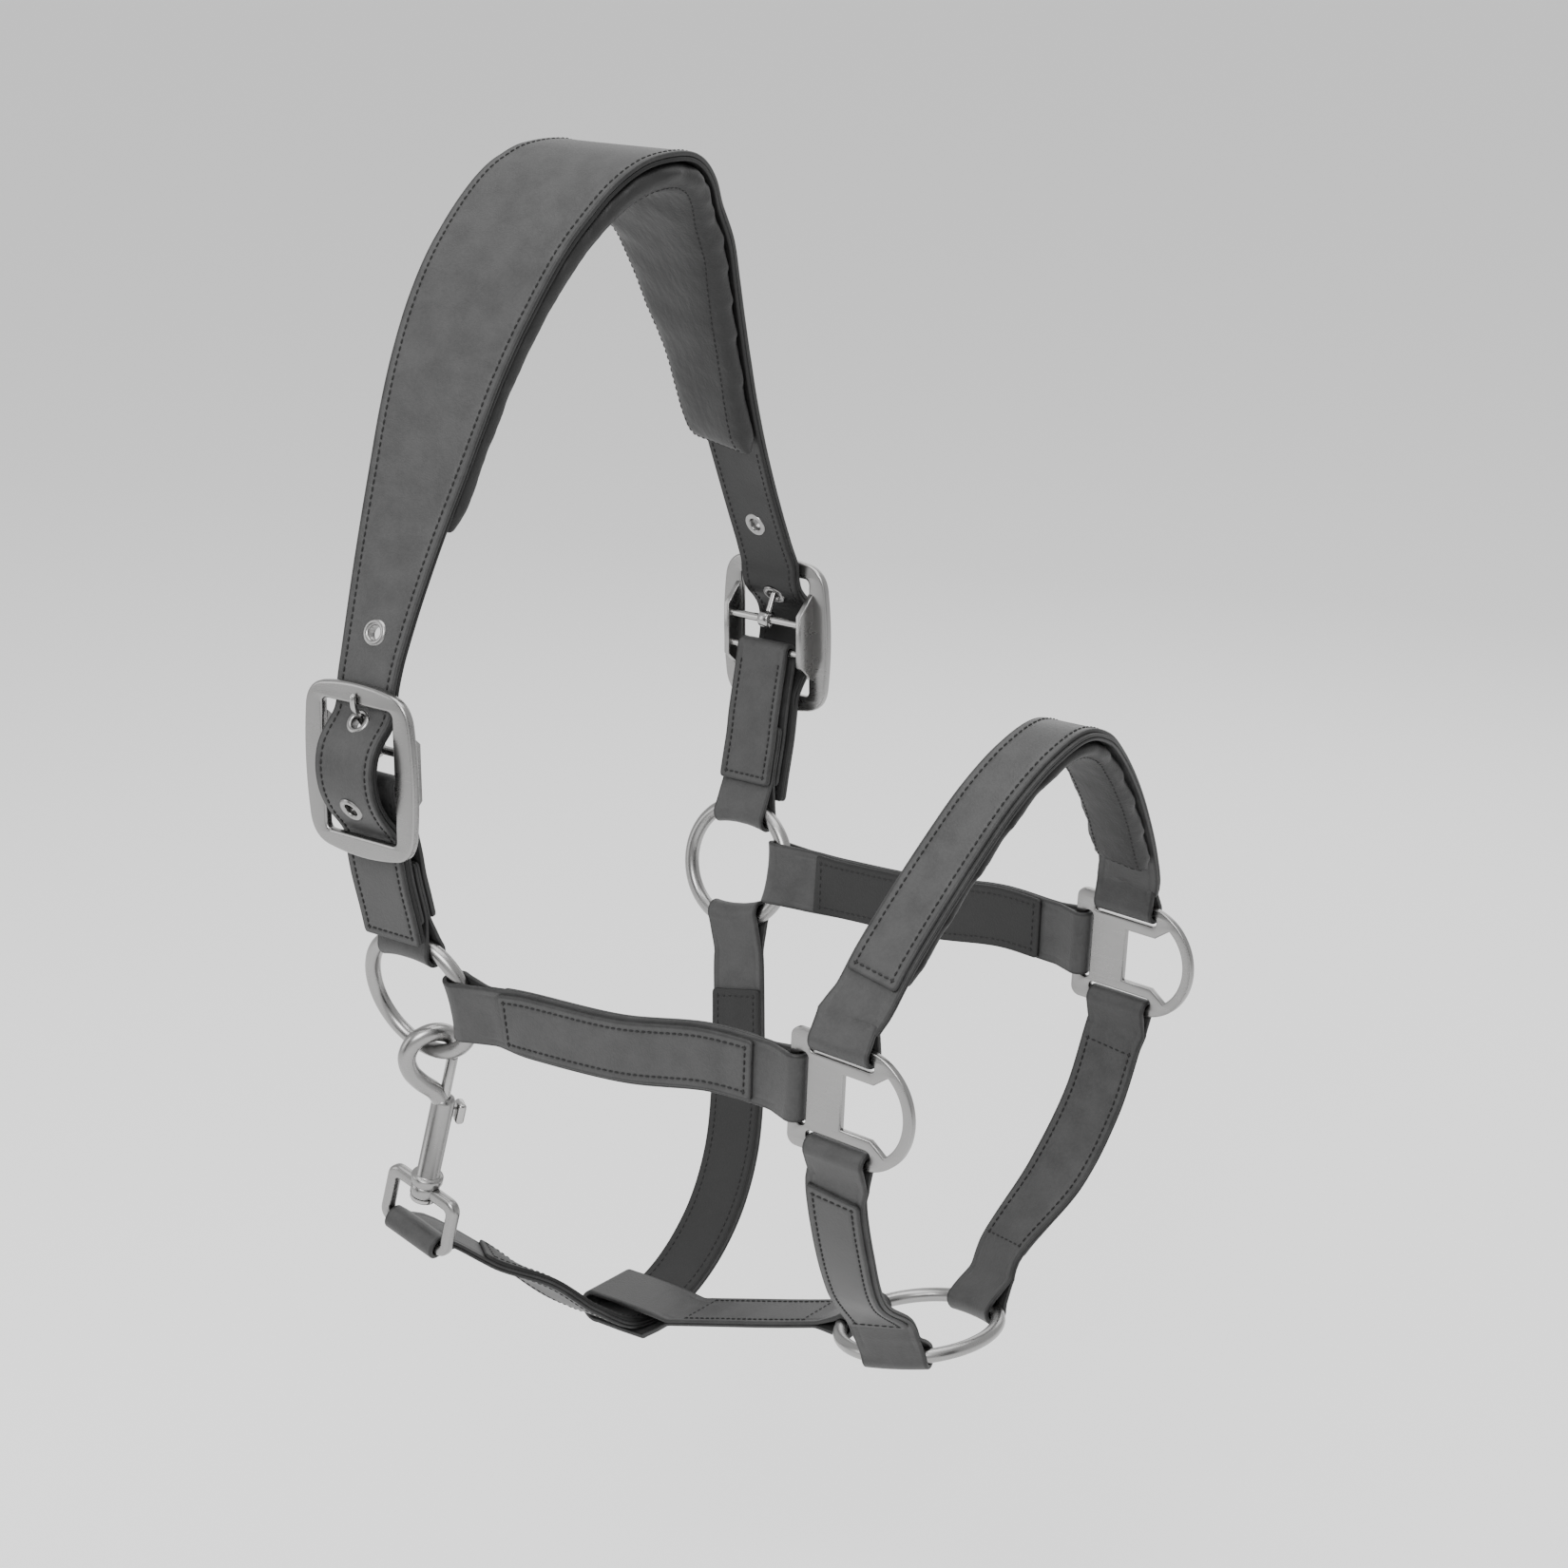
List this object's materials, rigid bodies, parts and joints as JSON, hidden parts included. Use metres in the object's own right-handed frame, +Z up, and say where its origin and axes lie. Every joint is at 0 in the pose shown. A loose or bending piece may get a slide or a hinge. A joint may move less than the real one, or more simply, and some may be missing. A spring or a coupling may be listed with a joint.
{
  "type": "leather headcollar",
  "caption": "Padded leather headcollar with buckled cheeks, side rings, plate fittings at the noseband, a chin ring and a throat strap on a swivel bolt snap.",
  "frame": {"origin": "top of the horse's poll, on the middle plane, 3 mm under the headpiece pad", "axes": "+X towards the nose, +Y towards the horse's left, +Z up"},
  "size_m": [0.3064, 0.2984, 0.5395],
  "materials": {
    "leather": "dark grey bridle leather, fine grain, satin",
    "lining": "soft dark lining leather, matt",
    "foam": "closed-cell foam, hidden",
    "steel": "satin stainless steel",
    "spring_steel": "drawn spring wire"
  },
  "bodies": {
    "harness": {"chin_link_strap": "leather", "headpiece_backing": "lining", "headpiece_outer": "leather", "headpiece_pad_cover": "lining", "headpiece_pad_foam": "foam", "left_buckle_frame": "steel", "left_cheek_strap": "leather", "left_chin_strap": "leather", "left_chin_strap_panel": "leather", "left_eyelet_1": "steel", "left_eyelet_2": "steel", "left_eyelet_3": "steel", "left_nose_fitting": "steel", "left_ring_tab": "leather", "left_side_strap": "leather", "left_side_strap_lining": "lining", "left_side_strap_panel": "leather", "left_strap_bar": "steel", "left_tongue_bar": "steel", "noseband_pad_cover": "lining", "noseband_pad_foam": "foam", "noseband_panel": "leather", "noseband_strap": "leather", "right_buckle_frame": "steel", "right_cheek_strap": "leather", "right_chin_strap": "leather", "right_chin_strap_panel": "leather", "right_eyelet_1": "steel", "right_eyelet_2": "steel", "right_eyelet_3": "steel", "right_nose_fitting": "steel", "right_ring_tab": "leather", "right_side_strap": "leather", "right_side_strap_lining": "lining", "right_side_strap_panel": "leather", "right_strap_bar": "steel", "right_tongue_bar": "steel", "snap_swivel_eye": "steel", "snap_swivel_rivet": "steel", "throat_strap": "leather", "throat_strap_lining": "lining"},
    "right_side_ring": {"right_side_ring": "steel"},
    "left_side_ring": {"left_side_ring": "steel"},
    "chin_ring": {"chin_ring": "steel"},
    "right_tongue": {"right_buckle_tongue": "steel"},
    "left_tongue": {"left_buckle_tongue": "steel"},
    "snap_body": {"snap_hook": "steel"},
    "snap_gate": {"snap_bolt": "steel", "snap_spring": "spring_steel"}
  },
  "joints": [
    {"name": "right_side_ring_turn", "type": "hinge", "parent": "harness", "child": "right_side_ring", "pos_m": [-0.017, -0.108, -0.329], "axis": [0, -0.9763, -0.2164], "continuous": true},
    {"name": "left_side_ring_turn", "type": "hinge", "parent": "harness", "child": "left_side_ring", "pos_m": [-0.017, 0.108, -0.329], "axis": [0, -0.9763, 0.2164], "continuous": true},
    {"name": "chin_ring_turn", "type": "hinge", "parent": "harness", "child": "chin_ring", "pos_m": [0.169, 0, -0.471], "axis": [-0.1392, 0, 0.9903], "continuous": true},
    {"name": "right_tongue_pivot", "type": "hinge", "parent": "harness", "child": "right_tongue", "pos_m": [-0.017, -0.13, -0.2135], "axis": [1, 0, 0], "range_deg": [0, 2]},
    {"name": "left_tongue_pivot", "type": "hinge", "parent": "harness", "child": "left_tongue", "pos_m": [-0.017, 0.13, -0.2135], "axis": [-1, 0, 0], "range_deg": [0, 2]},
    {"name": "snap_swivel", "type": "hinge", "parent": "harness", "child": "snap_body", "pos_m": [-0.039, -0.095, -0.452], "axis": [0.2698, 0.0134, 0.9628], "range_deg": [-8, 8]},
    {"name": "snap_bolt_slide", "type": "slide", "parent": "snap_body", "child": "snap_gate", "axis": [-0.2698, -0.0134, -0.9628], "range_m": [0, 0.007], "stiffness_N_per_m": 500, "springref_m": -0.004}
  ]
}
